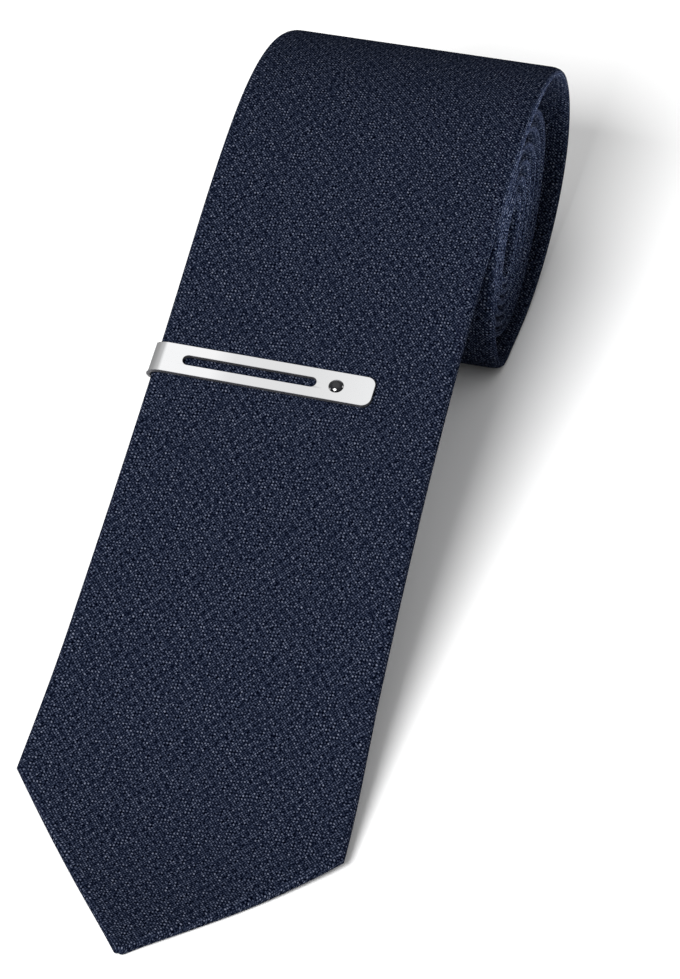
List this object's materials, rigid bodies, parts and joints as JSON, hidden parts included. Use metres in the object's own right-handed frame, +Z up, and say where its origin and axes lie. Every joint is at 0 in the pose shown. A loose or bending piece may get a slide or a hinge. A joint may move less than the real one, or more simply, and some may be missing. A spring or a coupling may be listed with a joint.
{
  "type": "rolled necktie with tie clip",
  "caption": "Dark melange necktie rolled up from its narrow end, the wide end led down as a ramp, with a slotted slide clip set with a cut stone.",
  "frame": {"origin": "middle of the footprint, on the surface that the tie lies on", "axes": "+Z up from the surface, +Y from the tie's point toward its roll, +X across the tie to the right as its face is read with the point down"},
  "size_m": [0.08, 0.2976, 0.0711],
  "materials": {
    "tie_cloth": "dark navy melange weave on the bias",
    "polished_steel": "mirror polished",
    "dark_crystal": "cut and polished"
  },
  "bodies": {
    "root": {"tie_blade": "tie_cloth", "tie_neck": "tie_cloth", "tie_tail": "tie_cloth", "clip_bar": "polished_steel", "clip_stone": "dark_crystal"}
  },
  "joints": []
}
